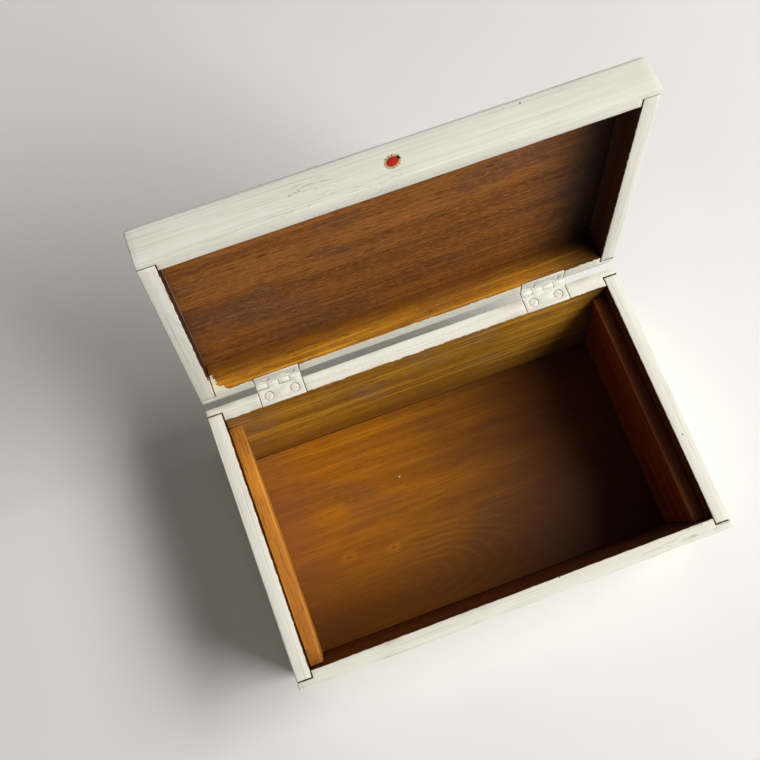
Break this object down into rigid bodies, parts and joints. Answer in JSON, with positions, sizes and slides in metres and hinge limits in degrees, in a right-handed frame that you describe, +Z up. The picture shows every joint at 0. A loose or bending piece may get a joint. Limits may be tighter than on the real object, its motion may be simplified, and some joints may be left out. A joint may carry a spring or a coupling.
{
  "type": "hinged keepsake box",
  "caption": "Small painted wooden keepsake box with leaning front and back boards, inner battens and a shallow lid on butt hinges, shown open.",
  "frame": {"origin": "middle of the base's underside", "axes": "+X to the right seen from the front, +Y towards the hinged back, +Z up"},
  "size_m": [0.24, 0.195, 0.2232],
  "materials": {
    "painted_wood": "thick brushed off-white gloss paint, worn at the edges",
    "varnished_wood": "orange-brown varnish over straight grain",
    "hinge_metal": "painted over with the box, cracked at the joints",
    "nail_steel": "plain panel pins, sunk and painted over",
    "transfer": "thin printed transfer"
  },
  "bodies": {
    "box": {"base_back_board": "painted_wood", "base_back_left_nail_lower": "nail_steel", "base_back_left_nail_upper": "nail_steel", "base_back_right_nail_lower": "nail_steel", "base_back_right_nail_upper": "nail_steel", "base_bottom_panel": "varnished_wood", "base_front_board": "painted_wood", "base_front_left_nail_lower": "nail_steel", "base_front_left_nail_upper": "nail_steel", "base_front_right_nail_lower": "nail_steel", "base_front_right_nail_upper": "nail_steel", "base_left_end": "painted_wood", "base_right_end": "painted_wood", "left_batten": "varnished_wood", "left_batten_nail_back": "nail_steel", "left_batten_nail_front": "nail_steel", "left_hinge_base_leaf": "hinge_metal", "left_hinge_base_screw_inner": "hinge_metal", "left_hinge_base_screw_outer": "hinge_metal", "left_hinge_pin": "hinge_metal", "panel_back_nail_1": "nail_steel", "panel_back_nail_2": "nail_steel", "panel_back_nail_3": "nail_steel", "panel_front_nail_1": "nail_steel", "panel_front_nail_2": "nail_steel", "panel_front_nail_3": "nail_steel", "right_batten": "varnished_wood", "right_batten_nail_back": "nail_steel", "right_batten_nail_front": "nail_steel", "right_hinge_base_leaf": "hinge_metal", "right_hinge_base_screw_inner": "hinge_metal", "right_hinge_base_screw_outer": "hinge_metal", "right_hinge_pin": "hinge_metal"},
    "lid": {"ladybird_transfer": "transfer", "left_hinge_lid_leaf": "hinge_metal", "left_hinge_lid_screw_inner": "hinge_metal", "left_hinge_lid_screw_outer": "hinge_metal", "lid_back_board": "painted_wood", "lid_back_left_nail": "nail_steel", "lid_back_right_nail": "nail_steel", "lid_front_board": "painted_wood", "lid_front_left_nail": "nail_steel", "lid_front_right_nail": "nail_steel", "lid_left_end": "painted_wood", "lid_right_end": "painted_wood", "lid_top_panel": "painted_wood", "right_hinge_lid_leaf": "hinge_metal", "right_hinge_lid_screw_inner": "hinge_metal", "right_hinge_lid_screw_outer": "hinge_metal"}
  },
  "joints": [
    {"name": "lid_hinge", "type": "hinge", "parent": "box", "child": "lid", "pos_m": [0, 0.08, 0.0662], "axis": [-1, 0, 0], "range_deg": [-96.3, 83.7]}
  ]
}
